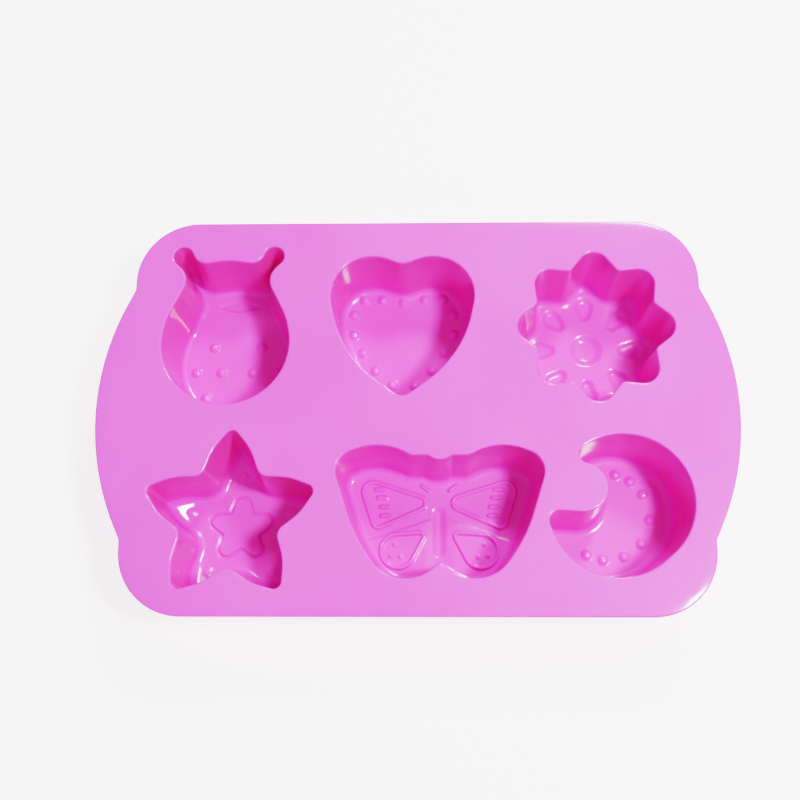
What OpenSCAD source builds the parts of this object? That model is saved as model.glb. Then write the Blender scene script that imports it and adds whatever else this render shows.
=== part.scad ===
// Six-cup silicone soap mould: one flat sheet with six shaped cups hanging below it.
// The real mould is a single moulding. It is drawn here as named zones that meet face to face.
// Millimetres, +Z up, +X along the length, +Y towards the ladybird, heart and flower row.
// The origin is on the resting plane, under the middle of the sheet.

/* [Sheet] */
// Overall length, from one end curve to the other
sheet_length = 280; // [276:1:300]
// Overall width, between the two straight edges
sheet_width = 177; // [177:1:190]
// Thickness of the flat sheet
sheet_thickness = 2; // [1.6:0.1:3]
// Radius of the four corners
corner_radius = 28; // [27:0.5:29]

/* [Cups] */
// Overall height, from the resting plane to the top of the sheet
overall_height = 38; // [30:1:45]
// Thickness of the cup walls
wall_thickness = 1.6; // [1.4:0.1:1.8]
// Thickness of the cup floors
floor_thickness = 2; // [1.6:0.1:3]
// Radius of the rounded lip round each cup
lip_radius = 0.8; // [0.6:0.1:0.9]
// How far a wall leans inwards from its lip to its foot
wall_draft = 2; // [1:0.1:2]
// Radius inside a cup where the wall meets the floor
foot_radius = 1.5; // [1:0.1:1.6]

/* [Relief] */
// Diameter of the round studs on the cup floors
stud_diameter = 4.2; // [3:0.1:4.6]
// Height of the studs and of the other raised relief
relief_height = 1; // [0.6:0.1:1.4]
// Width of the ridges that outline the butterfly's wings
ridge_width = 1.4; // [1:0.1:2]
// Depth of the flower's petals and of its dish, sunk into the floor
petal_depth = 1.2; // [0.5:0.1:1.4]

/* [Colour] */
// Orchid pink of the silicone
silicone_pink = "#e588d8";

/* [Hidden] */

// Where each cup's own centre lies, seen from above
ladybird_at = [-84.6, 38];
heart_at = [-6.1, 40.9];
flower_at = [79.6, 38.6];
star_at = [-79.6, -46.1];
butterfly_at = [10.2, -44.4];
moon_at = [88.6, -41.3];

sheet_top = overall_height;
sheet_underside = overall_height - sheet_thickness;
foot_top = floor_thickness + foot_radius;
// How far the edge of a cup's flat floor lies inside the edge of its opening
floor_inset = lip_radius + wall_draft + foot_radius;
// How far the sheet's hole lies outside the edge of the opening
hole_growth = wall_thickness - lip_radius;
petal_count = 8;
smallest_radius = 0.3;
chord_error = 0.1;
coarsest_step = 15;
stud_facets = 24;
quarter_round_points = 3;

// ---- Outlines ------------------------------------------------------------------------------
// An outline is a closed belt round a chain of circles [x, y, radius], counterclockwise.
// A positive radius makes a bulge and a negative radius makes a hollow.
// Growing an outline changes every radius by the same amount, so it stays parallel to itself.

function positive_turn(angle) = angle - 360 * floor(angle / 360);

function facing(a, b) =
    let (way = [b.x - a.x, b.y - a.y])
    atan2(way.y, way.x) - acos((a.z - b.z) / norm(way));

function turn(from, to, radius) =
    radius > 0 ? positive_turn(to - from) : -positive_turn(from - to);

// Always an even number, so that the middle of an arc is one of its points
function step_count(span, radius) =
    let (fine = 2 * acos(1 - min(chord_error / abs(radius), 0.5)))
    2 * max(1, ceil(abs(span) / min(fine, coarsest_step) / 2));

function kept_radius(radius, growth) =
    radius > 0 ? max(radius + growth, smallest_radius) : min(radius + growth, -smallest_radius);

function arc(before, circle, after, growth) =
    let (
        from = facing(before, circle),
        span = turn(from, facing(circle, after), circle.z),
        radius = kept_radius(circle.z, growth),
        // An arc that has shrunk to nothing slides along its bisector instead
        slide = (circle.z + growth - radius) / cos(span / 2),
        middle = from + span / 2,
        x = circle.x + slide * cos(middle),
        y = circle.y + slide * sin(middle),
        steps = step_count(span, circle.z)
    )
    [for (i = [0:steps])
        let (angle = from + span * i / steps)
        [x + radius * cos(angle), y + radius * sin(angle)]];

function outline(chain, growth = 0) =
    let (count = len(chain))
    [for (i = [0:count - 1])
        each arc(chain[(i + count - 1) % count], chain[i], chain[(i + 1) % count], growth)];

// A chain that is the same left and right: its right half from bottom to top, then the mirror
function mirrored(right) = [for (i = [len(right) - 1:-1:0]) [-right[i].x, right[i].y, right[i].z]];

function symmetric(bottom, right, top) = [bottom, each right, top, each mirrored(right)];

// A chain repeated round its centre
function repeated(count, arm) =
    [for (i = [0:count - 1], c = arm)
        let (angle = 360 * i / count)
        [c.x * cos(angle) - c.y * sin(angle), c.x * sin(angle) + c.y * cos(angle), c.z]];

function both_sides(points) = [each points, for (p = points) [-p.x, p.y]];

function polar(radius, angle) = [radius * cos(angle), radius * sin(angle)];

function moved(points, by) = [for (p = points) p + by];

// ---- Cup shapes, each about its own centre ---------------------------------------------------

ladybird_chain = symmetric(
    [0, -6.5, 29.1],
    [[-7.8, -6.5, 36.8], [27.65, 22.8, -8], [20.6, 34.35, 5.2], [10.25, 37.2, -5.4]],
    [0, 0.6, 32.3]
);

heart_chain = symmetric(
    [0, -28.5, 6.2],
    [[-20, 14.3, 52.5], [13.5, 12.4, 19.3]],
    [0, 36.2, -7.8]
);

flower_chain = repeated(petal_count, [[27.5, 0, 7.85], [each polar(30.8, 180 / petal_count), -1.95]]);

star_chain = repeated(5, [
    [-14.2, 16.5, 26], [0, 34.2, 3.8], [14.2, 16.5, 26], [each polar(27.4, 126), -4.4]
]);

butterfly_chain = symmetric(
    [0, -24.6, -1.9],
    [
        [14.6, -10.6, 18.1], [-21.2, 19, 64.4], [35.2, 17.6, 10.2],
        [27.2, 3.1, 26.6], [10.9, 30.8, -5.5], [5.8, 23.15, 2.2]
    ],
    [0, 29.75, -6.4]
);

moon_chain = [
    [0.3, 1.6, 29.8], [-14.7, 21.9, 4.7], [-17.5, 7.5, -9.8], [-27.8, -6.9, 5.2], [-3.5, -1.4, 30]
];

// ---- Relief shapes -----------------------------------------------------------------------------

petal_chain = [[17.5, 0, 2.8], [22, 0, 4.3]];
inner_star_chain = repeated(5, [[0, 11.1, 3.2], [each polar(10.1, 126), -1.5]]);
upper_wing_chain = [[30, 15.3, 4.6], [9.2, 10.2, 3], [27.6, 1.6, 2.6]];
lower_wing_chain = [[18.8, -11.7, 7.6], [8.8, -5.2, 1.8]];
mouth_chain = [[0, 13, 12.4], [-8.2, 22.4, 1], [0, 32, 12.4], [8.2, 22.4, 1]];

ladybird_spot_places = both_sides([[11.2, 2.5], [19.2, -10], [7.4, -10], [14.2, -22.3]]);
heart_stud_places = [
    [0, 22],
    each both_sides([
        [5.2, -19.4], [13.2, -12], [19.1, -3.2], [23.6, 5.6], [23.5, 15.6], [18.7, 23.4], [10, 23.4]
    ])
];
star_stud_places = [for (i = [0:4]) polar(24, 90 + 72 * i)];
moon_stud_places = moved(
    [for (angle = [75, 54, 30, -5, -39, -68, -96, -118]) polar(19.8, angle)], [-3.2, 1]
);
wing_bar_places = [[27.1, 16.4], [26, 12.7], [24.8, 8.4], [24.3, 4.4]];
wing_dot_places = both_sides([[20.1, -8.8], [21.9, -13.9], [17.4, -14.4]]);
wing_bar_size = [5, 2.3];
wing_dot_diameter = 2;
feeler_at = [6.3, 17];
feeler_size = [6, 2.4];
feeler_tilt = 38;
wing_step_height = 0.6;
wing_step_line = [[-40, -10], [-6, 2], [-3.6, -30], [3.6, -30], [6, 2], [40, -10], [40, -40], [-40, -40]];
dish_top_radius = 8.3;
dish_bottom_radius = 4.2;
head_line = 16.6;
head_plate_height = 2.5;
mouth_depth = 0.8;

// ---- Sheet ---------------------------------------------------------------------------------------

// The curve of each end, and how far it stands out beyond the corners
end_radius = 118.8;
end_reach = 14;
// The small hollow where an end curve meets a corner, measured in from the end and from the side
notch_inset = [11.5, 31.5];
notch_radius = 2.5;

end_circle = [sheet_length / 2 - end_radius, 0, end_radius];
notch_circle = [sheet_length / 2 - notch_inset.x, sheet_width / 2 - notch_inset.y, -notch_radius];
corner_circle = [
    sheet_length / 2 - end_reach - corner_radius, sheet_width / 2 - corner_radius, corner_radius
];
sheet_right = [
    [corner_circle.x, -corner_circle.y, corner_radius], [notch_circle.x, -notch_circle.y, -notch_radius],
    end_circle, notch_circle, corner_circle
];
sheet_chain = [each sheet_right, each mirrored(sheet_right)];
// The grips are the bulges beyond the line through the notches
grip_line = notch_circle.x - notch_radius;

module slab(bottom, height) {
    color(silicone_pink) translate([0, 0, bottom]) linear_extrude(height) children();
}

module grip(side) {
    slab(sheet_underside, sheet_thickness) intersection() {
        polygon(outline(sheet_chain));
        translate([side > 0 ? grip_line : -grip_line - sheet_length, -sheet_width / 2])
            square([sheet_length, sheet_width]);
    }
}

module opening(chain, at) {
    translate(at) polygon(outline(chain, hole_growth));
}

module deck() {
    slab(sheet_underside, sheet_thickness) difference() {
        intersection() {
            polygon(outline(sheet_chain));
            square([2 * grip_line, sheet_width], center = true);
        }
        opening(ladybird_chain, ladybird_at);
        opening(heart_chain, heart_at);
        opening(flower_chain, flower_at);
        opening(star_chain, star_at);
        opening(butterfly_chain, butterfly_at);
        opening(moon_chain, moon_at);
    }
}

module left_grip() {
    grip(-1);
}

module right_grip() {
    grip(1);
}

// ---- Cups ------------------------------------------------------------------------------------------

function quarter_round(centre, size, from, to) =
    [for (i = [0:quarter_round_points - 1])
        let (angle = from + (to - from) * i / (quarter_round_points - 1))
        centre + [size.x * cos(angle), size.y * sin(angle)]];

foot_centre = [-floor_inset, foot_top];
outer_foot_size = [foot_radius + wall_thickness, foot_top];
// The closed section of a cup wall as [growth of the outline, height]: down the outside,
// in under the foot, and up the inside to the lip
wall_section = [
    [hole_growth, sheet_top],
    [hole_growth, sheet_underside],
    each quarter_round(foot_centre, outer_foot_size, 0, -90),
    each quarter_round(foot_centre, [foot_radius, foot_radius], -90, 0),
    each quarter_round([0, sheet_top - lip_radius], [lip_radius, lip_radius], 180, 90)
];

module cup_wall(chain, at) {
    rings = [for (s = wall_section) [for (p = outline(chain, s.x)) [p.x, p.y, s.y]]];
    ring_count = len(rings);
    point_count = len(rings[0]);
    faces = [for (r = [0:ring_count - 1], i = [0:point_count - 1])
        let (
            next_ring = ((r + 1) % ring_count) * point_count,
            ring = r * point_count,
            next = (i + 1) % point_count
        )
        [ring + i, ring + next, next_ring + next, next_ring + i]];
    color(silicone_pink) translate([at.x, at.y, 0]) polyhedron([for (r = rings) each r], faces);
}

module cup_floor(chain, at) {
    slab(0, floor_thickness) translate(at) polygon(outline(chain, -floor_inset));
}

module raised(at, height = relief_height, base = floor_thickness) {
    slab(base, height) translate(at) children();
}

module studs(places, at, diameter = stud_diameter) {
    raised(at) for (p = places) translate(p) circle(d = diameter, $fn = stud_facets);
}

module both_halves() {
    for (side = [0, 1]) mirror([side, 0]) children();
}

module ridge(chain) {
    difference() {
        polygon(outline(chain, ridge_width / 2));
        polygon(outline(chain, -ridge_width / 2));
    }
}

module rounded_bar(size) {
    square([size.x - size.y, size.y], center = true);
    for (side = [-1, 1]) translate([side * (size.x - size.y) / 2, 0]) circle(d = size.y, $fn = stud_facets);
}

module ladybird_wall() {
    cup_wall(ladybird_chain, ladybird_at);
}

module ladybird_floor() {
    cup_floor(ladybird_chain, ladybird_at);
}

module ladybird_head_plate() {
    head_top = floor_thickness + head_plate_height;
    color(silicone_pink) difference() {
        raised(ladybird_at, head_plate_height) intersection() {
            polygon(outline(ladybird_chain, -floor_inset));
            translate([-sheet_width / 2, head_line]) square(sheet_width);
        }
        raised(ladybird_at, floor_thickness, head_top - mouth_depth) polygon(outline(mouth_chain));
    }
}

module ladybird_spots() {
    studs(ladybird_spot_places, ladybird_at);
}

module heart_wall() {
    cup_wall(heart_chain, heart_at);
}

module heart_floor() {
    cup_floor(heart_chain, heart_at);
}

module heart_studs() {
    studs(heart_stud_places, heart_at);
}

module flower_wall() {
    cup_wall(flower_chain, flower_at);
}

module flower_floor() {
    color(silicone_pink) difference() {
        cup_floor(flower_chain, flower_at);
        translate([flower_at.x, flower_at.y, floor_thickness - petal_depth]) {
            for (i = [0:petal_count - 1])
                rotate(360 * i / petal_count) linear_extrude(floor_thickness) polygon(outline(petal_chain));
            cylinder(petal_depth, dish_bottom_radius, dish_top_radius, $fn = 2 * stud_facets);
        }
    }
}

module star_wall() {
    cup_wall(star_chain, star_at);
}

module star_floor() {
    cup_floor(star_chain, star_at);
}

module star_plateau() {
    raised(star_at) polygon(outline(inner_star_chain));
}

module star_studs() {
    studs(star_stud_places, star_at);
}

module butterfly_wall() {
    cup_wall(butterfly_chain, butterfly_at);
}

module butterfly_floor() {
    cup_floor(butterfly_chain, butterfly_at);
}

module butterfly_lower_wings() {
    raised(butterfly_at, wing_step_height) intersection() {
        polygon(outline(butterfly_chain, -floor_inset));
        polygon(wing_step_line);
    }
}

module butterfly_upper_ridges() {
    raised(butterfly_at) both_halves() ridge(upper_wing_chain);
}

module butterfly_lower_ridges() {
    raised(butterfly_at, relief_height, floor_thickness + wing_step_height)
        both_halves() ridge(lower_wing_chain);
}

module butterfly_wing_bars() {
    raised(butterfly_at) both_halves() for (p = wing_bar_places) translate(p) rounded_bar(wing_bar_size);
}

module butterfly_feelers() {
    raised(butterfly_at) both_halves() translate(feeler_at) rotate(feeler_tilt) rounded_bar(feeler_size);
}

module butterfly_wing_dots() {
    raised(butterfly_at, relief_height, floor_thickness + wing_step_height)
        for (p = wing_dot_places) translate(p) circle(d = wing_dot_diameter, $fn = stud_facets);
}

module moon_wall() {
    cup_wall(moon_chain, moon_at);
}

module moon_floor() {
    cup_floor(moon_chain, moon_at);
}

module moon_studs() {
    studs(moon_stud_places, moon_at);
}

deck();
left_grip();
right_grip();
ladybird_wall();
ladybird_floor();
ladybird_head_plate();
ladybird_spots();
heart_wall();
heart_floor();
heart_studs();
flower_wall();
flower_floor();
star_wall();
star_floor();
star_plateau();
star_studs();
butterfly_wall();
butterfly_floor();
butterfly_lower_wings();
butterfly_upper_ridges();
butterfly_lower_ridges();
butterfly_wing_bars();
butterfly_feelers();
butterfly_wing_dots();
moon_wall();
moon_floor();
moon_studs();
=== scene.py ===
import math

import bpy
import numpy as np
from bpy.props import FloatProperty, FloatVectorProperty, PointerProperty
from mathutils.geometry import delaunay_2d_cdt
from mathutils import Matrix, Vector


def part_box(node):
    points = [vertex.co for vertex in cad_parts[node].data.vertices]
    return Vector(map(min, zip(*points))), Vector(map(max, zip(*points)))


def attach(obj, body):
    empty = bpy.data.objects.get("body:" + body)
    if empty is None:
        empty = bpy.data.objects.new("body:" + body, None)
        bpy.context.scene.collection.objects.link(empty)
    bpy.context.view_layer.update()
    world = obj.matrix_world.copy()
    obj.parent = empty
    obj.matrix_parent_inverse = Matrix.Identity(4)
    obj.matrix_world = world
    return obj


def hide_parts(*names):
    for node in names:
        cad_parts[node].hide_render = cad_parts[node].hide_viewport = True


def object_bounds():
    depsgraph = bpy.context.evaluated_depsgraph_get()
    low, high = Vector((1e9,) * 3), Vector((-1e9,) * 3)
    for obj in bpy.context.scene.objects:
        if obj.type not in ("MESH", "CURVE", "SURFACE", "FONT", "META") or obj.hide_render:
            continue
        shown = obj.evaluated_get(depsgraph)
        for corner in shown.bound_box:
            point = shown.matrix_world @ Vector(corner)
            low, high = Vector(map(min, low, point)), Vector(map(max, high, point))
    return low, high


# The silicone soap mould: a flat sheet with bulging ends and six shaped cups below it.
# Shapes are worked out in millimetres and become metres when a mesh is made.

bl_info = {
    "name": "Silicone soap mould",
    "version": (1, 0, 0),
    "blender": (4, 5, 0),
    "location": "3D View > Sidebar > Soap mould",
    "description": "Builds the sheet, the six cups and the stage of a silicone soap mould",
    "category": "Object",
}

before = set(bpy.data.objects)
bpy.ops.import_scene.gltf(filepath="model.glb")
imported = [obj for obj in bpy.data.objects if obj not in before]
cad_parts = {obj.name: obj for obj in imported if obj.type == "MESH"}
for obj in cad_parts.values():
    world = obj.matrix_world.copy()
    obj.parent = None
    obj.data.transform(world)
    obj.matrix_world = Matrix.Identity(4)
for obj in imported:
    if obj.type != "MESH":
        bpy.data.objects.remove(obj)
cad_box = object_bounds()

MM = 0.001
TURN = 2 * math.pi
SILICONE = "satin_silicone"
# Name of the point attribute that holds each point's share of the painted wall shade
PAINTED_SHADE_ATTRIBUTE = "painted_shade_share"

# Outlines
FINEST_STEP = math.radians(12)
LEAST_RADIUS = 0.3
SHORTEST_STRAIGHT = 0.05
OUTLINE_SPACING = 0.5
SHEET_OUTLINE_SPACING = 1.0

# Flat regions: how many spacings of the grid stay clear of an edge, how close two points may lie, and
# the triangulation's own code for triangles inside the outer loop only
EDGE_CLEARANCE = 0.6
MERGE_DISTANCE = 1e-7
INSIDE_ONLY = 1

# Mesh steps along a section, and the grids of the underside and of the sheet
LIP_STEPS = 8
FOOT_STEPS = 9
WALL_STEPS = 16
FLARE_STEPS = 6
UNDERSIDE_SPACING = 3
SHEET_SPACING = 4
SHARPEST_SMOOTH_EDGE = math.radians(65)

# Degrees below level where a foot's rounding stops being rings and joins the floor's height field
FOOT_SPLIT = 50

# Rounding of the sheet's lower edge, as a share of its upper one's
LOWER_EDGE_SHARE = 0.6

# The relief lifts the lower wall too. It ends at this level, and fades out over this height below it.
WALL_RELIEF_TOP, WALL_RELIEF_FADE = 18, 10

# The painted wall shade, a deeper pink that stands in for shade and for light glowing through the silicone,
# comes in over these heights below the lip and above the floor
PAINTED_SHADE_BELOW_LIP, PAINTED_SHADE_ABOVE_FLOOR = 3, 6


# ---- Sizes and colours that a user would change ------------------------------------------------


class MouldSizes(bpy.types.PropertyGroup):
    overall_height: FloatProperty(
        name="Overall height", description="From the resting plane to the top of the sheet",
        default=cad_box[1].z, unit="LENGTH")
    sheet_thickness: FloatProperty(
        name="Sheet thickness", description="Thickness of the flat sheet",
        default=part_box("deck")[1].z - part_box("deck")[0].z, unit="LENGTH")
    floor_thickness: FloatProperty(
        name="Floor thickness", description="Thickness of the cup floors",
        default=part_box("heart_floor")[1].z, unit="LENGTH")
    edge_radius: FloatProperty(
        name="Edge radius", description="Rounding along the upper edge of the sheet",
        default=0.0010, unit="LENGTH")
    lip_radius: FloatProperty(
        name="Lip radius", description="Rounding where the sheet turns down into a cup",
        default=0.0008, unit="LENGTH")
    land_width: FloatProperty(
        name="Land width", description="How far a cup's own top ring reaches beyond its opening",
        default=0.0008, unit="LENGTH")
    wall_draft: FloatProperty(
        name="Wall draft", description="How far a wall leans inwards from lip to foot",
        default=0.0020, unit="LENGTH")
    foot_radius: FloatProperty(
        name="Foot radius", description="Rounding inside a cup where the wall meets the floor",
        default=0.0035, unit="LENGTH")
    narrow_foot_radius: FloatProperty(
        name="Narrow foot radius", description="The same rounding in the ladybird, for its feelers",
        default=0.0024, unit="LENGTH")
    outer_inset: FloatProperty(
        name="Outer foot inset", description="How far the flat underside lies inside the opening",
        default=0.0043, unit="LENGTH")
    floor_spacing: FloatProperty(
        name="Floor mesh spacing", description="Distance between the points of a cup floor's mesh",
        default=0.00035, unit="LENGTH")


class ReliefSizes(bpy.types.PropertyGroup):
    stud_height: FloatProperty(
        name="Stud height", description="Height of the round studs on the cup floors",
        default=0.0012, unit="LENGTH")
    ridge_height: FloatProperty(
        name="Ridge height", description="Height of the butterfly's ridges, bars and feelers",
        default=0.0012, unit="LENGTH")
    plate_height: FloatProperty(
        name="Head plate height", description="Height of the ladybird's head above its wing case",
        default=0.0025, unit="LENGTH")
    petal_depth: FloatProperty(
        name="Petal depth", description="Depth of the flower's petals and of its dish",
        default=0.0014, unit="LENGTH")


class SiliconeLook(bpy.types.PropertyGroup):
    pale_pink: FloatVectorProperty(
        name="Pale pink", description="Lighter of the two pinks that the silicone drifts between",
        subtype="COLOR", size=3, min=0, max=1, default=(0.92, 0.125, 0.74))
    deep_pink: FloatVectorProperty(
        name="Deep pink", description="Darker of the two pinks",
        subtype="COLOR", size=3, min=0, max=1, default=(0.90, 0.11, 0.70))
    # Painted shade: a deeper pink painted on the cups' inner walls, standing in for shade and for light
    # glowing through the silicone
    painted_wall_shade: FloatVectorProperty(
        name="Wall pink", description="Deeper pink inside the cups, where light soaks through the walls",
        subtype="COLOR", size=3, min=0, max=1, default=(0.92, 0.09, 0.46))
    roughness: FloatProperty(
        name="Roughness", description="Roughness of the satin body below the gloss",
        subtype="FACTOR", min=0, max=1, default=0.40)
    gloss: FloatProperty(
        name="Gloss", description="Strength of the polished skin that a polished mould leaves",
        subtype="FACTOR", min=0, max=1, default=0.8)
    gloss_roughness: FloatProperty(
        name="Gloss roughness", description="Roughness of the polished skin",
        subtype="FACTOR", min=0, max=1, default=0.07)
    grain_height: FloatProperty(
        name="Grain height", description="Depth of the fine moulded grain",
        default=0.000012, unit="LENGTH", precision=6)


class StageLook(bpy.types.PropertyGroup):
    floor_colour: FloatVectorProperty(
        name="Table colour", description="Colour of the pale table",
        subtype="COLOR", size=3, min=0, max=1, default=(0.90, 0.90, 0.90))
    floor_glow: FloatProperty(
        name="Table glow", description="How much the lit table shines by itself, which softens its shadows",
        default=1.8)
    surround: FloatProperty(
        name="Surround light", description="Strength of the light from all round",
        default=0.10)
    veil: FloatProperty(
        name="Veil", description="How much brighter the surround is where the gloss reflects it",
        default=0.25)
    backdrop: FloatProperty(
        name="Backdrop", description="Brightness of the backdrop beyond the table",
        default=3.2)


# ---- Outlines ------------------------------------------------------------------------------------


def mirrored(right):
    """The left half of a chain of circles, from its right half."""
    return [(-x, y, radius) for x, y, radius in reversed(right)]


def symmetric(bottom, right, top):
    """A chain that is the same left and right, from its right half, bottom to top."""
    return [bottom, *right, top, *mirrored(right)]


def polar(radius, degrees):
    """A point at a distance and a bearing from the centre."""
    return radius * math.cos(math.radians(degrees)), radius * math.sin(math.radians(degrees))


def repeated(count, arm):
    """A chain that repeats one arm round its centre."""
    chain = []
    for index in range(count):
        cosine, sine = polar(1, 360 * index / count)
        chain += [(x * cosine - y * sine, x * sine + y * cosine, radius) for x, y, radius in arm]
    return chain


def both_sides(places):
    """Places on the right, and the same places mirrored to the left."""
    return [*places, *((-x, y) for x, y in places)]


def unit(bearing):
    """Unit vectors at the bearings, one per row."""
    return np.stack((np.cos(bearing), np.sin(bearing)), axis=-1)


class Belt:
    """A closed counterclockwise outline: a belt round a chain of circles (x, y, signed radius).

    A positive radius makes a bulge and a negative one a hollow. The belt leaves circle i for circle j
    at the bearing of j from i, less the arc cosine of (radius i - radius j) / distance.
    """

    def __init__(self, chain):
        circles = np.array(chain, float)
        self.centre, self.radius = circles[:, :2], circles[:, 2]
        way = np.roll(self.centre, -1, axis=0) - self.centre
        difference = self.radius - np.roll(self.radius, -1)
        distance = np.hypot(way[:, 0], way[:, 1])
        self.leave = np.arctan2(way[:, 1], way[:, 0]) - np.arccos(difference / distance)
        self.reach = np.roll(self.leave, 1)
        self.side = np.sign(self.radius)
        self.turn = self.side * ((self.side * (self.leave - self.reach)) % TURN)
        self.straight = np.sqrt(distance ** 2 - difference ** 2)

    def outline(self, growth=0.0, spacing=OUTLINE_SPACING):
        """Points of the outline moved outwards by growth, arc by arc and straight by straight.

        An arc that would shrink to nothing keeps a small radius and slides along its bisector.
        """
        grown = self.radius + growth
        kept = self.side * np.maximum(self.side * grown, LEAST_RADIUS)
        slide = (grown - kept) / np.cos(self.turn / 2)
        centre = self.centre + slide[:, None] * unit(self.reach + self.turn / 2)
        starts = centre + kept[:, None] * unit(self.reach)
        ends = centre + kept[:, None] * unit(self.leave)
        points = []
        for i, turn in enumerate(self.turn):
            steps = math.ceil(max(abs(turn * self.radius[i]) / spacing, abs(turn) / FINEST_STEP))
            bearing = self.reach[i] + turn * np.arange(steps) / steps
            points.append(centre[i] + kept[i] * unit(bearing))
            if self.straight[i] > SHORTEST_STRAIGHT:
                steps = math.ceil(self.straight[i] / spacing)
                share = np.arange(steps)[:, None] / steps
                points.append(ends[i] + share * (starts[(i + 1) % len(starts)] - ends[i]))
        return np.concatenate(points)

    def depth(self, x, y):
        """How far points lie inside the outline: the nearest of its arcs and straights, signed."""
        nearest = np.full(np.shape(x), np.inf)
        for i, side in enumerate(self.side):
            from_x, from_y = side * (x - self.centre[i, 0]), side * (y - self.centre[i, 1])
            swing = (side * (np.arctan2(from_y, from_x) - self.reach[i])) % TURN
            to_arc = side * (abs(self.radius[i]) - np.hypot(from_x, from_y))
            to_arc = np.where(swing <= abs(self.turn[i]), to_arc, np.inf)
            out_x, out_y = unit(self.leave[i])
            from_x = x - self.centre[i, 0] - self.radius[i] * out_x
            from_y = y - self.centre[i, 1] - self.radius[i] * out_y
            along = np.clip(from_y * out_x - from_x * out_y, 0, self.straight[i])
            to_straight = np.hypot(from_x + along * out_y, from_y - along * out_x)
            to_straight = np.copysign(to_straight, -(from_x * out_x + from_y * out_y))
            for candidate in (to_arc, to_straight):
                nearest = np.where(np.abs(candidate) < np.abs(nearest), candidate, nearest)
        return nearest


SHEET = Belt([
    (98, -60.5, 28), (128.5, -57, -2.5), (21.2, 0, 118.8), (128.5, 57, -2.5), (98, 60.5, 28),
    (-98, 60.5, 28), (-128.5, 57, -2.5), (-21.2, 0, 118.8), (-128.5, -57, -2.5), (-98, -60.5, 28),
])
LADYBIRD = Belt(symmetric(
    (0, -6.5, 29.1),
    [(-7.8, -6.5, 36.8), (27.65, 22.8, -8), (20.6, 34.35, 5.2), (10.25, 37.2, -5.4)],
    (0, 0.6, 32.3),
))
HEART = Belt(symmetric((0, -28.5, 6.2), [(-20, 14.3, 52.5), (13.5, 12.4, 19.3)], (0, 36.2, -7.8)))
PETAL_COUNT = 8
ARM_COUNT, FIRST_ARM = 5, 90
BETWEEN_ARMS = FIRST_ARM + 180 / ARM_COUNT
FLOWER = Belt(repeated(PETAL_COUNT, [(27.5, 0, 7.85), (*polar(30.8, 180 / PETAL_COUNT), -1.95)]))
STAR = Belt(repeated(ARM_COUNT, [
    (-14.2, 16.5, 26), (0, 34.2, 3.8), (14.2, 16.5, 26), (*polar(27.4, BETWEEN_ARMS), -4.4),
]))
BUTTERFLY = Belt(symmetric(
    (0, -24.6, -1.9),
    [
        (14.6, -10.6, 18.1), (-21.2, 19, 64.4), (35.2, 17.6, 10.2),
        (27.2, 3.1, 26.6), (10.9, 30.8, -5.5), (5.8, 23.15, 2.2),
    ],
    (0, 29.75, -6.4),
))
MOON = Belt([
    (0.3, 1.6, 29.8), (-14.7, 21.9, 4.7), (-17.5, 7.5, -9.8), (-27.8, -6.9, 5.2), (-3.5, -1.4, 30),
])


# ---- Relief on the cup floors --------------------------------------------------------------------


def smooth_step(share):
    """0 below 0, 1 above 1, and 3 s^2 - 2 s^3 between."""
    share = np.clip(share, 0, 1)
    return share * share * (3 - 2 * share)


def ramp(into, rim, slope):
    """0 from the rim outwards, rising over the slope to 1. into is how far a point lies inside."""
    return smooth_step((into + rim) / slope)


def crest(distance, half_width):
    """A rounded ridge: half of 1 + cosine, falling to 0 at half_width."""
    return 0.5 + 0.5 * np.cos(np.pi * np.clip(np.abs(distance) / half_width, 0, 1))


def band(distance, half_width, slope):
    """A flat-topped ridge: 1 along its middle, falling over the slope to 0 at half_width."""
    return smooth_step((half_width - np.abs(distance)) / slope)


def dome(x, y, places, radius, rim):
    """Round studs: 1 on top, falling over a soft shoulder as wide as the rim to 0 at the radius."""
    nearest = np.full(np.shape(x), np.inf)
    for at_x, at_y in places:
        nearest = np.minimum(nearest, np.hypot(x - at_x, y - at_y))
    return np.sqrt(smooth_step((radius - nearest) / rim))


def bar(x, y, at, half_length, tilt):
    """Distance from a straight bar's middle line, which leans by tilt degrees."""
    cosine, sine = polar(1, tilt)
    along = (x - at[0]) * cosine + (y - at[1]) * sine
    across = (y - at[1]) * cosine - (x - at[0]) * sine
    return np.hypot(np.maximum(np.abs(along) - half_length, 0), across)


STUD_RADIUS = 2.6
STUD_RIM = 2.2

LADYBIRD_SPOTS = both_sides([(11.2, 2.5), (19.2, -10), (7.4, -10), (14.2, -22.3)])
HEAD_LINE = 16.6
COVE_WIDTH, COVE_POWER = 8.4, 1.7
MOUTH = Belt([(0, 13, 12.4), (-8.2, 22.4, 1), (0, 32, 12.4), (8.2, 22.4, 1)])
MOUTH_DEPTH, MOUTH_RIM, MOUTH_SLOPE = 0.8, 0.4, 1.2


def ladybird_relief(x, y, relief):
    """Round spots, and a head plate that a long hollow cove joins to the wing case.

    The cove rises as a power of the way to the head line. The mouth is a soft lens-shaped pit.
    """
    way = np.clip((y - HEAD_LINE + COVE_WIDTH) / COVE_WIDTH, 0, 1)
    plate = relief.plate_height / MM * way ** COVE_POWER
    mouth = ramp(MOUTH.depth(x, y), MOUTH_RIM, MOUTH_SLOPE)
    spots = dome(x, y, LADYBIRD_SPOTS, STUD_RADIUS, STUD_RIM)
    return plate - MOUTH_DEPTH * mouth + relief.stud_height / MM * spots


HEART_STUDS = [
    (0, 22),
    *both_sides([
        (5.2, -19.4), (13.2, -12), (19.1, -3.2), (23.6, 5.6), (23.5, 15.6), (18.7, 23.4), (10, 23.4),
    ]),
]


def heart_relief(x, y, relief):
    """A row of studs that follows the heart's edge."""
    return relief.stud_height / MM * dome(x, y, HEART_STUDS, STUD_RADIUS, STUD_RIM)


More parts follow.
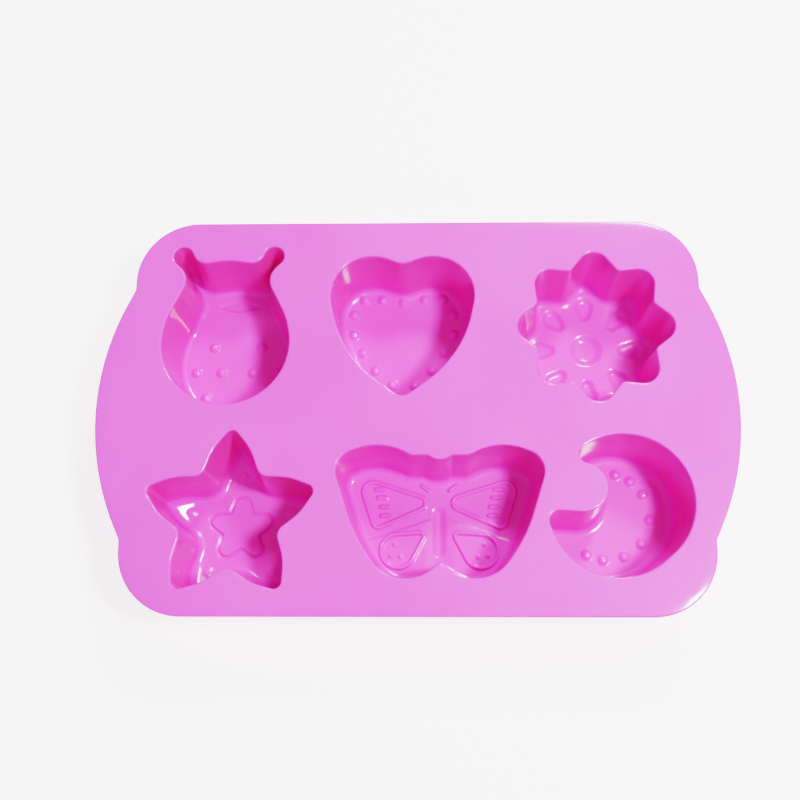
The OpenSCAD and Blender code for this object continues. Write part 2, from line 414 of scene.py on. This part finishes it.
def folded(x, y, count, first):
    """Points turned into the first of several equal sectors: along its middle line, and across it.

    first is the bearing in degrees of that sector's middle line.
    """
    sector = TURN / count
    bearing = (np.arctan2(y, x) - math.radians(first) + sector / 2) % sector - sector / 2
    distance = np.hypot(x, y)
    return distance * np.cos(bearing), distance * np.sin(bearing)


PETAL = Belt([(17.5, 0, 2.8), (22, 0, 4.3)])
PETAL_RIM, PETAL_SLOPE = 0.9, 3.2
DISH_TOP, DISH_BOTTOM = 8.3, 4.2


def flower_relief(x, y, relief):
    """Petal-shaped bowls round a round dish with a flat bottom.

    A petal's side starts PETAL_RIM outside its outline and falls over PETAL_SLOPE.
    """
    into_petal = PETAL.depth(*folded(x, y, PETAL_COUNT, 0))
    petal = ramp(into_petal, PETAL_RIM, PETAL_SLOPE)
    dish = smooth_step((DISH_TOP - np.hypot(x, y)) / (DISH_TOP - DISH_BOTTOM))
    return -relief.petal_depth / MM * np.maximum(petal, dish)


INNER_STAR = Belt(repeated(ARM_COUNT, [(0, 11.1, 3.2), (*polar(10.1, BETWEEN_ARMS), -1.5)]))
INNER_STAR_HEIGHT, INNER_STAR_RIM, INNER_STAR_SLOPE = 0.35, 0.4, 0.8
GROOVE_DEPTH, GROOVE_OUTSIDE, GROOVE_HALF_WIDTH = 0.9, 0.5, 1.0
STAR_STUDS = [polar(24, FIRST_ARM + 360 / ARM_COUNT * arm) for arm in range(ARM_COUNT)]
STAR_STUD_SHARE = 0.6
TIP_START, TIP_CURVE, TIP_SLOPE = 22, 8, 0.405


def star_relief(x, y, relief):
    """A low inner star inside a fine groove, a stud on each arm, and arm tips that curve upwards.

    The tips bend upwards from TIP_START on the radius TIP_CURVE, and run on straight at TIP_SLOPE.
    """
    into_star = INNER_STAR.depth(x, y)
    plateau = INNER_STAR_HEIGHT * ramp(into_star, INNER_STAR_RIM, INNER_STAR_SLOPE)
    groove = GROOVE_DEPTH * crest(into_star + GROOVE_OUTSIDE, GROOVE_HALF_WIDTH)
    stud_height = STAR_STUD_SHARE * relief.stud_height / MM
    studs = stud_height * dome(x, y, STAR_STUDS, STUD_RADIUS, STUD_RIM)
    along, _ = folded(x, y, ARM_COUNT, FIRST_ARM)
    beyond = np.maximum(along - TIP_START, 0)
    bent = np.minimum(beyond, TIP_SLOPE * TIP_CURVE)
    tips = bent ** 2 / (2 * TIP_CURVE) + TIP_SLOPE * (beyond - bent)
    return plateau - groove + studs + tips


UPPER_WING = Belt([(30, 15.3, 4.6), (9.2, 10.2, 3), (27.6, 1.6, 2.6)])
LOWER_WING = Belt([(18.8, -11.7, 7.6), (8.8, -5.2, 1.8)])
WING_BARS = [(27.1, 16.4), (26, 12.7), (24.8, 8.4), (24.3, 4.4)]
WING_DOTS = [(20.1, -8.8), (21.9, -13.9), (17.4, -14.4)]
DOT_RADIUS, DOT_RIM, DOT_SHARE = 1.2, 1.1, 0.6
BAR_HALF_LENGTH = 1.7
RIDGE_HALF_WIDTH, RIDGE_SLOPE = 1.15, 0.75
FEELER_AT, FEELER_HALF_LENGTH, FEELER_TILT = (6.3, 17), 1.8, 38
WING_STEP_AT, WING_STEP_FALL, WING_STEP_HEIGHT = 4.0, 0.34, 0.6
WING_STEP_RIM, WING_STEP_SLOPE = 0.45, 0.9
BODY_TOP, BODY_BOTTOM, BODY_HALF_WIDTH, BODY_DEPTH = 5.5, -11.5, 3.8, 1.3
STEP_FREE, STEP_FADE = 1, 6


def butterfly_relief(x, y, relief):
    """Ridged wings with bars and dots, two short feelers and a long groove for the body.

    Everything is the same left and right. The lower wings stand a step higher than the upper ones.
    The step starts STEP_FREE from the middle line and reaches its height over STEP_FADE.
    """
    x = np.abs(x)
    ridge_height = relief.ridge_height / MM
    from_line = np.minimum(np.abs(UPPER_WING.depth(x, y)), np.abs(LOWER_WING.depth(x, y)))
    from_line = np.minimum(from_line, bar(x, y, FEELER_AT, FEELER_HALF_LENGTH, FEELER_TILT))
    for at in WING_BARS:
        from_line = np.minimum(from_line, bar(x, y, at, BAR_HALF_LENGTH, 0))
    ridges = band(from_line, RIDGE_HALF_WIDTH, RIDGE_SLOPE)
    dots = DOT_SHARE * dome(x, y, WING_DOTS, DOT_RADIUS, DOT_RIM)
    below_step = WING_STEP_AT - WING_STEP_FALL * x - y
    clear_of_body = ramp(x, -STEP_FREE, STEP_FADE)
    step = WING_STEP_HEIGHT * ramp(below_step, WING_STEP_RIM, WING_STEP_SLOPE) * clear_of_body
    middle = (BODY_TOP + BODY_BOTTOM) / 2
    from_body = bar(x, y, (0, middle), BODY_TOP - middle, 90)
    body = crest(from_body, BODY_HALF_WIDTH)
    return ridge_height * (ridges + dots) + step - BODY_DEPTH * body


ROW_CENTRE, ROW_RADIUS = (-3.2, 1), 19.8
ROW_BEARINGS = (75, 54, 30, -5, -39, -68, -96, -118)
MOON_STUDS = [(ROW_CENTRE[0] + x, ROW_CENTRE[1] + y)
              for x, y in (polar(ROW_RADIUS, bearing) for bearing in ROW_BEARINGS)]


def moon_relief(x, y, relief):
    """A curved row of studs."""
    return relief.stud_height / MM * dome(x, y, MOON_STUDS, STUD_RADIUS, STUD_RIM)


# Each cup's outline, its relief, and the zones besides its wall and floor
CUPS = {
    "ladybird": (LADYBIRD, ladybird_relief, ("head_plate", "spots")),
    "heart": (HEART, heart_relief, ("studs",)),
    "flower": (FLOWER, flower_relief, ()),
    "star": (STAR, star_relief, ("plateau", "studs")),
    "butterfly": (BUTTERFLY, butterfly_relief, (
        "lower_wings", "upper_ridges", "lower_ridges", "wing_bars", "feelers", "wing_dots",
    )),
    "moon": (MOON, moon_relief, ("studs",)),
}


# ---- Shader arithmetic ---------------------------------------------------------------------------


class Value:
    """A number that varies over a surface. Its operators add Math nodes."""

    def __init__(self, graph, socket):
        self.graph = graph
        self.socket = socket

    def math(self, operation, left, right):
        return self.graph.node("ShaderNodeMath", {"operation": operation}, {0: left, 1: right})

    def __add__(self, other):
        return self.math("ADD", self, other)

    def __mul__(self, other):
        return self.math("MULTIPLY", self, other)

    __radd__ = __add__
    __rmul__ = __mul__


class Graph:
    """The node tree of a material or of the world."""

    def __init__(self, owner):
        owner.use_nodes = True
        self.owner = owner
        self.tree = owner.node_tree
        self.tree.nodes.clear()

    def node(self, kind, settings=None, inputs=None, output=0):
        """Adds a node, settings first, fills or links its inputs, and gives one of its outputs."""
        node = self.tree.nodes.new(kind)
        for name, value in (settings or {}).items():
            setattr(node, name, value)
        for name, value in (inputs or {}).items():
            if isinstance(value, Value):
                self.tree.links.new(value.socket, node.inputs[name])
            elif node.inputs[name].type == "RGBA":
                node.inputs[name].default_value = (*value, 1)
            else:
                node.inputs[name].default_value = value
        return Value(self, node.outputs[output]) if node.outputs else None

    def noise(self, scale, detail=2.0):
        """Noise in object coordinates, with the scale in features per metre."""
        place = self.node("ShaderNodeTexCoord", output="Object")
        return self.node("ShaderNodeTexNoise", {}, {"Vector": place, "Scale": scale, "Detail": detail})

    def between(self, value, low, high):
        """0 where the value is below low and 1 where it is above high, smoothly."""
        return self.node(
            "ShaderNodeMapRange", {"interpolation_type": "SMOOTHSTEP"},
            {"Value": value, "From Min": low, "From Max": high})

    def attribute(self, name):
        """A number stored with the points of the mesh."""
        return self.node("ShaderNodeAttribute", {"attribute_name": name}, output="Fac")

    def mix(self, share, first, second):
        """One colour turning into another."""
        return self.node("ShaderNodeMix", {"data_type": "RGBA"}, {0: share, 6: first, 7: second}, 2)

    def finish(self, inputs):
        """Adds the surface shader and the output, and gives the material."""
        surface = self.node("ShaderNodeBsdfPrincipled", {}, inputs)
        self.node("ShaderNodeOutputMaterial", {}, {"Surface": surface})
        return self.owner


# The silicone's patterns, with scales in features per metre and heights in metres
CLOUD_SCALE, CLOUD_START, CLOUD_END = 22, 0.3, 0.7
GRAIN_SCALE, FINE_DETAIL = 1500, 3.0
WAVE_SCALE, WAVE_DETAIL, WAVE_HEIGHT = 45, 1.0, 0.0001
HAZE_SCALE, HAZE_START, HAZE_END, HAZE_ROUGHNESS = 160, 0.2, 0.8, 0.06
SILICONE_IOR, SATIN_SPECULAR, GLOSS_IOR = 1.43, 0.2, 1.5


def silicone_material(look):
    """Satin silicone: two pinks in soft clouds, a fine moulded grain and a faint broad waviness.

    A haze of slightly duller patches varies the roughness. Inside the cups the walls take a painted
    shade: a deeper pink that stands in for shade and for light glowing through the silicone.
    """
    graph = Graph(bpy.data.materials.new(SILICONE))
    clouds = graph.between(graph.noise(CLOUD_SCALE), CLOUD_START, CLOUD_END)
    grain = graph.noise(GRAIN_SCALE, FINE_DETAIL)
    waves = graph.noise(WAVE_SCALE, WAVE_DETAIL)
    haze = graph.between(graph.noise(HAZE_SCALE, FINE_DETAIL), HAZE_START, HAZE_END)
    relief = grain * look.grain_height + waves * WAVE_HEIGHT
    bump = graph.node("ShaderNodeBump", {}, {"Height": relief, "Strength": 1.0, "Distance": 1.0})
    pink = graph.mix(clouds, look.deep_pink, look.pale_pink)
    return graph.finish({
        # Painted shade: the inner walls are mixed towards a deeper pink, standing in for shade and for
        # light glowing through the silicone
        "Base Color": graph.mix(graph.attribute(PAINTED_SHADE_ATTRIBUTE), pink, look.painted_wall_shade),
        "Roughness": haze * HAZE_ROUGHNESS + look.roughness,
        "Normal": bump,
        "IOR": SILICONE_IOR,
        "Specular IOR Level": SATIN_SPECULAR,
        "Coat Weight": look.gloss,
        "Coat Roughness": look.gloss_roughness,
        "Coat IOR": GLOSS_IOR,
    })


MOTTLE_SCALE, MOTTLE_SHADE, TABLE_ROUGHNESS = 8, 0.98, 0.8


def table_material(look):
    """A pale matt table with a barely visible mottle."""
    graph = Graph(bpy.data.materials.new("pale_table"))
    shade = tuple(MOTTLE_SHADE * part for part in look.floor_colour)
    return graph.finish({
        "Base Color": graph.mix(graph.noise(MOTTLE_SCALE), shade, look.floor_colour),
        "Roughness": TABLE_ROUGHNESS,
        "Emission Color": look.floor_colour,
        "Emission Strength": look.floor_glow,
    })


def surround_world(look):
    """Weak light from all round, with a pale backdrop wherever the camera looks past the table.

    The light is stronger where the gloss reflects it.
    """
    graph = Graph(bpy.data.worlds.new("surround"))
    seen = graph.node("ShaderNodeLightPath", output="Is Camera Ray")
    reflected = graph.node("ShaderNodeLightPath", output="Is Glossy Ray")
    strength = seen * (look.backdrop - look.surround) + reflected * look.veil + look.surround
    light = graph.node("ShaderNodeBackground", {}, {"Color": (1, 1, 1), "Strength": strength})
    graph.node("ShaderNodeOutputWorld", {}, {"Surface": light})
    return graph.owner


# ---- Shells --------------------------------------------------------------------------------------


class Shell:
    """Points, in millimetres, and triangles of one closed piece."""

    def __init__(self):
        self.points = []
        # Each point's share of the painted wall shade
        self.painted_shade_shares = []
        self.triangles = []
        self.count = 0

    def add(self, flat, height, painted_shade_share=0.0):
        """Adds points above a flat outline or field, and gives their numbers."""
        heights = np.broadcast_to(height, len(flat))
        self.points.append(np.column_stack((flat, heights)))
        self.painted_shade_shares.append(np.full(len(flat), painted_shade_share))
        self.count += len(flat)
        return np.arange(self.count - len(flat), self.count)

    def cover(self, numbers, triangles):
        """Adds triangles between numbered points."""
        self.triangles.append(numbers[triangles])

    def join(self, loops):
        """Adds the band between each closed loop of points and the next."""
        for first, second in zip(loops, loops[1:]):
            after_first, after_second = np.roll(first, -1), np.roll(second, -1)
            self.triangles.append(np.stack((first, second, after_second), axis=1))
            self.triangles.append(np.stack((first, after_second, after_first), axis=1))

    def piece(self, name, material, nodes):
        """Makes the object, in metres, and puts it in the place of the CAD nodes."""
        mesh = bpy.data.meshes.new(name)
        mesh.from_pydata(np.concatenate(self.points) * MM, [], np.concatenate(self.triangles).tolist())
        if mesh.validate():
            raise RuntimeError(f"{name} has faulty faces")
        # Stores each point's share of the painted wall shade for the material
        share = mesh.attributes.new(PAINTED_SHADE_ATTRIBUTE, "FLOAT", "POINT")
        share.data.foreach_set("value", np.concatenate(self.painted_shade_shares))
        mesh.shade_smooth()
        mesh.set_sharp_from_angle(angle=SHARPEST_SMOOTH_EDGE)
        mesh.materials.append(material)
        piece = bpy.data.objects.new(name, mesh)
        bpy.context.scene.collection.objects.link(piece)
        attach(piece, "root")
        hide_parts(*nodes)
        return piece


def quarter(centre, size, start, end, steps):
    """Section points [growth, height] on a quarter of an ellipse, between two bearings in degrees."""
    bearing = np.radians(np.linspace(start, end, steps + 1))
    return np.asarray(centre) + np.asarray(size) * unit(bearing)


def filled(edges, spacing, depth):
    """Triangles over a flat region: its edge loops, the outer one first, and a grid in staggered rows.

    depth says how far a point lies inside the region. Grid points close to an edge are left out.
    Every loop is counterclockwise. A triangle whose corners are all on one loop lies inside the region
    if their numbers rise round the outer loop or fall round a hole. Any other triangle lies inside.
    """
    outer = edges[0]
    low, high = outer.min(axis=0), outer.max(axis=0)
    row_height = spacing * math.sqrt(3) / 2
    x, y = np.meshgrid(np.arange(low[0], high[0], spacing), np.arange(low[1], high[1], row_height))
    x[1::2] += spacing / 2
    x, y = x.ravel(), y.ravel()
    clear = depth(x, y) > EDGE_CLEARANCE * spacing
    points = np.concatenate((*edges, np.column_stack((x[clear], y[clear]))))
    starts = np.cumsum([0, *(len(edge) for edge in edges)])
    loops = [list(range(start, end)) for start, end in zip(starts, starts[1:])]
    borders = [pair for loop in loops[1:] for pair in zip(loop, loop[1:] + loop[:1])]
    found, _, triangles, *_ = delaunay_2d_cdt(
        points.tolist(), borders, loops[:1], INSIDE_ONLY, MERGE_DISTANCE, False)
    if len(found) != len(points):
        raise RuntimeError("an outline crosses itself")
    triangles = np.array(triangles)
    loop = np.searchsorted(starts[1:], triangles, side="right")
    on_one_loop = (loop == loop[:, :1]).all(axis=1) & (loop[:, 0] < len(edges))
    rising = (np.roll(triangles, -1, axis=1) > triangles).sum(axis=1) == 2
    return points, triangles[~on_one_loop | (rising == (loop[:, 0] == 0))]


def cup_place(name, belt, land):
    """Where a cup's own centre lies: the middle of its CAD wall's box less that of its outline."""
    low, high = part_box(name + "_wall")
    outline = belt.outline(land)
    middle = (outline.min(axis=0) + outline.max(axis=0)) / 2
    return (np.array(low)[:2] + np.array(high)[:2]) / 2 / MM - middle


def cup_shell(name, sizes, relief):
    """A cup's closed shell.

    Its section runs up the foot's rounding and the leaning wall, over the lip and across the land,
    then down the outside, which flares under the sheet, and in under the foot. Each section point
    becomes a loop: the outline grown by that much. The floor is a height field: the flat floor, plus
    the foot's rounding by the distance to the outline, plus the relief. The lower wall is lifted by
    the relief too, and everything from the foot's rings to the lip has its share of the painted wall
    shade, a deeper pink that stands in for shade and for light glowing through the silicone.
    """
    belt, relief_height, _ = CUPS[name]
    top, under = sizes.overall_height / MM, (sizes.overall_height - sizes.sheet_thickness) / MM
    floor, lip, land = sizes.floor_thickness / MM, sizes.lip_radius / MM, sizes.land_width / MM
    foot = (sizes.narrow_foot_radius if name == "ladybird" else sizes.foot_radius) / MM
    draft, inset = sizes.wall_draft / MM, sizes.outer_inset / MM
    place = cup_place(name, belt, land)

    lean = math.atan(draft / (top - lip - floor - foot))
    foot_centre = -lip - draft - foot / math.cos(lean)
    foot_middle = floor + foot
    foot_arc = quarter((foot_centre, foot_middle), foot, -FOOT_SPLIT, -math.degrees(lean), FOOT_STEPS)
    lip_arc = quarter((0, top - lip), lip, 180, 90, LIP_STEPS)
    wall = np.linspace(foot_arc[-1], lip_arc[0], WALL_STEPS + 1)[1:-1]
    inner = np.concatenate((foot_arc, wall, lip_arc))
    flare = lip + land
    flare_arc = quarter((land + flare, under - flare), flare, 90, 180, FLARE_STEPS)
    outer_foot = quarter((-inset, inset), inset, 0, -90, FOOT_STEPS)
    outer_wall = np.linspace(flare_arc[-1], outer_foot[0], WALL_STEPS + 1)[1:-1]
    outer = np.concatenate(([(land, top)], [(land, under)], flare_arc, outer_wall, outer_foot))

    def height(x, y):
        into = np.clip(-foot_centre - belt.depth(x, y), 0, foot)
        return floor + foot - np.sqrt(foot ** 2 - into ** 2) + relief_height(x, y, relief)

    shell = Shell()
    split = foot_arc[0][0]
    field, triangles = filled(
        [belt.outline(split)], sizes.floor_spacing / MM, lambda x, y: belt.depth(x, y) + split)
    numbers = shell.add(field + place, height(*field.T))
    shell.cover(numbers, triangles)
    rim_count = len(belt.outline(split))
    loops = [numbers[:rim_count]]
    for growth, level in inner[1:]:
        outline = belt.outline(growth)
        fade = smooth_step((WALL_RELIEF_TOP - level) / WALL_RELIEF_FADE)
        lift = fade * relief_height(*outline.T, relief)
        # Painted shade: the wall's share of the deeper pink, full between the lip and the floor, standing
        # in for shade and for light glowing through the silicone
        painted_shade_share = smooth_step((top - level) / PAINTED_SHADE_BELOW_LIP)
        painted_shade_share *= smooth_step((level - floor) / PAINTED_SHADE_ABOVE_FLOOR)
        loops.append(shell.add(outline + place, level + lift, painted_shade_share))
    for growth, level in outer[:-1]:
        loops.append(shell.add(belt.outline(growth) + place, level))
    base, triangles = filled(
        [belt.outline(-inset)], UNDERSIDE_SPACING, lambda x, y: belt.depth(x, y) - inset)
    numbers = shell.add(base + place, 0)
    shell.cover(numbers, triangles[:, ::-1])
    loops.append(numbers[:rim_count])
    shell.join(loops)
    return shell


def sheet_shell(sizes):
    """The flat sheet with its two bulging ends.

    A top and an underside with the cups' holes are joined round the outside by a rounded edge and
    round each hole by a plain band.
    """
    top, under = sizes.overall_height / MM, (sizes.overall_height - sizes.sheet_thickness) / MM
    land, edge = sizes.land_width / MM, sizes.edge_radius / MM
    lower_edge = LOWER_EDGE_SHARE * edge
    places = {name: cup_place(name, belt, land) for name, (belt, _, _) in CUPS.items()}
    holes = [belt.outline(land) + places[name] for name, (belt, _, _) in CUPS.items()]

    def depth(x, y):
        least = SHEET.depth(x, y) - edge
        for name, (belt, _, _) in CUPS.items():
            least = np.minimum(least, -land - belt.depth(x - places[name][0], y - places[name][1]))
        return least

    shell = Shell()
    section = np.concatenate((
        quarter((-edge, top - edge), edge, 90, 0, LIP_STEPS),
        quarter((-lower_edge, under + lower_edge), lower_edge, 0, -90, LIP_STEPS),
    ))
    rims = [SHEET.outline(growth, SHEET_OUTLINE_SPACING) for growth in section[:, 0]]
    faces = []
    for rim, level in ((rims[0], section[0, 1]), (rims[-1], section[-1, 1])):
        points, triangles = filled([rim, *holes], SHEET_SPACING, depth)
        numbers = shell.add(points, level)
        shell.cover(numbers, triangles if level == top else triangles[:, ::-1])
        faces.append(numbers)
    upper, lower = faces
    around = len(rims[0])
    middle_loops = [shell.add(rim, level) for rim, level in zip(rims[1:-1], section[1:-1, 1])]
    shell.join([upper[:around], *middle_loops, lower[:around]])
    start = around
    for hole in holes:
        around_hole = slice(start, start + len(hole))
        shell.join([lower[around_hole], upper[around_hole]])
        start += len(hole)
    return shell


# ---- Operators -----------------------------------------------------------------------------------


def shared_material(name, make):
    """The material of that name, made on first use."""
    return bpy.data.materials.get(name) or make()


class MOULD_OT_sheet(bpy.types.Operator):
    """Build the flat sheet with its bulging ends"""

    bl_idname = "mould.sheet"
    bl_label = "Sheet"

    def execute(self, context):
        scene = context.scene
        material = shared_material(SILICONE, lambda: silicone_material(scene.silicone_look))
        sheet_shell(scene.mould_sizes).piece("sheet", material, ("deck", "left_grip", "right_grip"))
        return {"FINISHED"}


class MOULD_OT_cups(bpy.types.Operator):
    """Build the six shaped cups"""

    bl_idname = "mould.cups"
    bl_label = "Cups"

    def execute(self, context):
        scene = context.scene
        material = shared_material(SILICONE, lambda: silicone_material(scene.silicone_look))
        for name, (_, _, zones) in CUPS.items():
            nodes = [f"{name}_{zone}" for zone in ("wall", "floor", *zones)]
            cup_shell(name, scene.mould_sizes, scene.relief_sizes).piece(name + "_cup", material, nodes)
        return {"FINISHED"}


# Softboxes: name, bearing from +X and height above the table in degrees, distance and width in
# metres, power in watts, and whether the gloss reflects it
SOFTBOXES = [
    ("key_softbox", 346, 65, 1.0, 0.13, 9.8, True),
    ("far_softbox", 68, 50, 1.3, 0.24, 11.5, True),
    ("near_softbox", 270, 38, 1.3, 0.60, 1.9, False),
    ("near_right_softbox", 315, 45, 1.3, 0.40, 1.9, False),
    ("near_left_softbox", 225, 50, 1.3, 0.40, 1.3, False),
]


def add_softbox(name, bearing, rise, distance, width, power, reflected):
    """A square soft light at a bearing and height, facing the middle of the mould."""
    light = bpy.data.lights.new(name, "AREA")
    light.size = width
    light.energy = power
    softbox = bpy.data.objects.new(name, light)
    flat, up = polar(distance, rise)
    softbox.location = (*polar(flat, bearing), up)
    softbox.rotation_euler = (math.radians(90 - rise), 0, math.radians(bearing + 90))
    softbox.visible_glossy = reflected
    bpy.context.scene.collection.objects.link(softbox)


# How far the table reaches each way, and how far it lies below the mould, in metres
TABLE_REACH, TABLE_GAP = 4.0, 0.0002

# The camera's sensor and lens in millimetres, its place in metres and its turns in degrees
CAMERA_SENSOR, CAMERA_LENS = 36, 51.75
CAMERA_PLACE = (0.004757, -0.129993, 0.519124)
CAMERA_TILT = (15.63, 1.332, 0.217)


class MOULD_OT_stage(bpy.types.Operator):
    """Set out the pale table, the soft lights and the camera"""

    bl_idname = "mould.stage"
    bl_label = "Stage"

    def execute(self, context):
        scene = context.scene
        look = scene.stage_look
        top = bpy.data.meshes.new("table")
        corners = [(-1, -1), (1, -1), (1, 1), (-1, 1)]
        top.from_pydata([(TABLE_REACH * x, TABLE_REACH * y, 0) for x, y in corners], [], [(0, 1, 2, 3)])
        top.materials.append(table_material(look))
        table = bpy.data.objects.new("table", top)
        table.location.z = -TABLE_GAP
        scene.collection.objects.link(table)

        for softbox in SOFTBOXES:
            add_softbox(*softbox)
        scene.world = surround_world(look)
        scene.view_settings.view_transform = "Filmic"
        scene.view_settings.look = "High Contrast"

        lens = bpy.data.cameras.new("camera")
        lens.sensor_width = CAMERA_SENSOR
        lens.lens = CAMERA_LENS
        camera = bpy.data.objects.new("camera", lens)
        camera.location = CAMERA_PLACE
        camera.rotation_euler = [math.radians(angle) for angle in CAMERA_TILT]
        scene.collection.objects.link(camera)
        scene.camera = camera
        return {"FINISHED"}


class MOULD_PT_panel(bpy.types.Panel):
    """Sizes, colours and building steps of the soap mould"""

    bl_label = "Soap mould"
    bl_space_type = "VIEW_3D"
    bl_region_type = "UI"
    bl_category = "Soap mould"

    def draw(self, context):
        for settings in (context.scene.mould_sizes, context.scene.relief_sizes,
                         context.scene.silicone_look, context.scene.stage_look):
            for name in settings.__annotations__:
                self.layout.prop(settings, name)
        for operator in OPERATORS:
            self.layout.operator(operator.bl_idname)


GROUPS = {
    "mould_sizes": MouldSizes,
    "relief_sizes": ReliefSizes,
    "silicone_look": SiliconeLook,
    "stage_look": StageLook,
}
OPERATORS = (MOULD_OT_sheet, MOULD_OT_cups, MOULD_OT_stage)


def register():
    for name, group in GROUPS.items():
        bpy.utils.register_class(group)
        setattr(bpy.types.Scene, name, PointerProperty(type=group))
    for operator in OPERATORS:
        bpy.utils.register_class(operator)
    bpy.utils.register_class(MOULD_PT_panel)


def unregister():
    bpy.utils.unregister_class(MOULD_PT_panel)
    for operator in reversed(OPERATORS):
        bpy.utils.unregister_class(operator)
    for name, group in GROUPS.items():
        delattr(bpy.types.Scene, name)
        bpy.utils.unregister_class(group)


def main():
    register()
    bpy.ops.mould.sheet()
    bpy.ops.mould.cups()
    bpy.ops.mould.stage()


if __name__ == "__main__":
    main()
